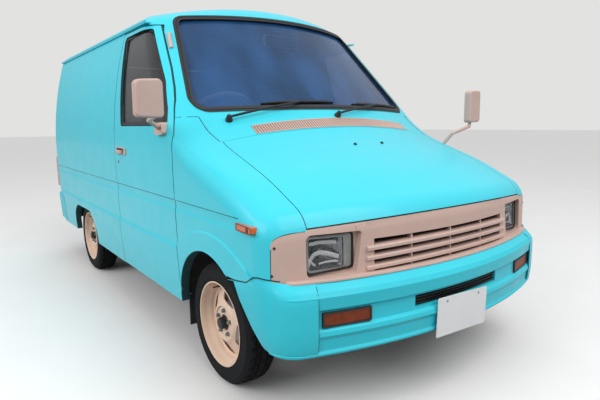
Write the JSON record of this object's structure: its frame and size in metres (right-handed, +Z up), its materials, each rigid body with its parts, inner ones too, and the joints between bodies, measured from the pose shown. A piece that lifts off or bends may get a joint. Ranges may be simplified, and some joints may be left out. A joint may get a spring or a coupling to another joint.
{
  "type": "small panel van",
  "caption": "Small bonneted right-hand-drive panel van with hinged cab doors, bonnet, tailgate, steered front wheels and a louvred beige grille panel.",
  "frame": {"origin": "On the ground under the middle of the van's overall box.", "axes": "+X forward to the nose, +Y to the van's left, +Z up."},
  "size_m": [3.9, 2.0995, 1.8198],
  "materials": {
    "paint": "gloss turquoise",
    "bumper_paint": "gloss turquoise",
    "beige_plastic": "satin pinkish beige",
    "wheel_paint": "satin tan",
    "glass": "clear",
    "lamp_glass": "fluted clear",
    "amber_lens": "amber lens",
    "red_lens": "red lens",
    "rubber": "matt dark grey",
    "tyre": "matt",
    "black_plastic": "satin black",
    "dash_plastic": "grained brown",
    "rim_plastic": "satin brown grey",
    "seat_fabric": "grey cloth",
    "dark_metal": "dark",
    "underbody": "satin dark grey"
  },
  "bodies": {
    "body": {"floor_pan": "underbody", "front_bulkhead": "underbody", "roof_panel": "paint", "side_panel_right": "paint", "side_panel_left": "paint", "fender_right": "paint", "fender_left": "paint", "windscreen_frame": "paint", "cowl_vent": "beige_plastic", "grille_panel": "beige_plastic", "headlamp_right": "lamp_glass", "headlamp_left": "lamp_glass", "front_bumper": "bumper_paint", "turn_signals": "amber_lens", "side_markers": "amber_lens", "windscreen": "glass", "windscreen_seal": "rubber", "rear_bumper": "bumper_paint", "tail_lamps": "red_lens", "dashboard": "dash_plastic", "steering_column": "black_plastic", "seat_driver": "seat_fabric", "seat_passenger": "seat_fabric", "wipers": "black_plastic", "mirror_left": "beige_plastic", "cabin_mirror": "black_plastic", "front_suspension": "dark_metal", "rear_axle": "dark_metal", "powertrain": "dark_metal", "fuel_tank": "underbody", "exhaust": "dark_metal", "mudflaps": "rubber"},
    "door_right_body": {"door_right": "paint", "door_right_glass": "glass", "door_handle_right": "beige_plastic", "mirror_right": "beige_plastic"},
    "door_left_body": {"door_left": "paint", "door_left_glass": "glass", "door_handle_left": "beige_plastic"},
    "hood_body": {"hood": "paint"},
    "tailgate_body": {"tailgate": "paint", "tailgate_glass": "glass"},
    "steering_wheel_body": {"steering_wheel": "rim_plastic"},
    "knuckle_right_body": {"knuckle_right": "dark_metal"},
    "knuckle_left_body": {"knuckle_left": "dark_metal"},
    "wheel_front_right_body": {"tyre_front_right": "tyre", "wheel_front_right": "wheel_paint"},
    "wheel_front_left_body": {"tyre_front_left": "tyre", "wheel_front_left": "wheel_paint"},
    "wheel_rear_right_body": {"tyre_rear_right": "tyre", "wheel_rear_right": "wheel_paint"},
    "wheel_rear_left_body": {"tyre_rear_left": "tyre", "wheel_rear_left": "wheel_paint"}
  },
  "joints": [
    {"name": "steer_right", "type": "hinge", "parent": "body", "child": "knuckle_right_body", "pos_m": [1.261, -0.655, 0.272], "axis": [0, 0, 1], "range_deg": [-30, 30]},
    {"name": "steer_left", "type": "hinge", "parent": "body", "child": "knuckle_left_body", "pos_m": [1.261, 0.655, 0.272], "axis": [0, 0, 1], "range_deg": [-30, 30]},
    {"name": "steering_wheel_turn", "type": "hinge", "parent": "body", "child": "steering_wheel_body", "pos_m": [0.56, -0.4, 1.19], "axis": [-0.6157, 0, 0.788], "range_deg": [-450, 450]},
    {"name": "wheel_front_right_spin", "type": "hinge", "parent": "knuckle_right_body", "child": "wheel_front_right_body", "pos_m": [1.261, -0.724, 0.272], "axis": [0, 1, 0], "continuous": true},
    {"name": "wheel_front_left_spin", "type": "hinge", "parent": "knuckle_left_body", "child": "wheel_front_left_body", "pos_m": [1.261, 0.724, 0.272], "axis": [0, 1, 0], "continuous": true},
    {"name": "wheel_rear_right_spin", "type": "hinge", "parent": "body", "child": "wheel_rear_right_body", "pos_m": [-0.963, -0.724, 0.272], "axis": [0, 1, 0], "continuous": true},
    {"name": "wheel_rear_left_spin", "type": "hinge", "parent": "body", "child": "wheel_rear_left_body", "pos_m": [-0.963, 0.724, 0.272], "axis": [0, 1, 0], "continuous": true},
    {"name": "door_right_hinge", "type": "hinge", "parent": "body", "child": "door_right_body", "pos_m": [0.912, -0.853, 0.9], "axis": [0, 0, 1], "range_deg": [0, 70]},
    {"name": "door_left_hinge", "type": "hinge", "parent": "body", "child": "door_left_body", "pos_m": [0.912, 0.853, 0.9], "axis": [0, 0, -1], "range_deg": [0, 70]},
    {"name": "hood_hinge", "type": "hinge", "parent": "body", "child": "hood_body", "pos_m": [1.11, 0, 1.104], "axis": [0, -1, 0], "range_deg": [0, 45]},
    {"name": "tailgate_hinge", "type": "hinge", "parent": "body", "child": "tailgate_body", "pos_m": [-1.864, 0, 1.699], "axis": [0, 1, 0], "range_deg": [0, 85]}
  ],
  "couplings": [
    {"joint": "steer_left", "follows": "steer_right", "ratio": 1},
    {"joint": "steering_wheel_turn", "follows": "steer_right", "ratio": 15}
  ]
}
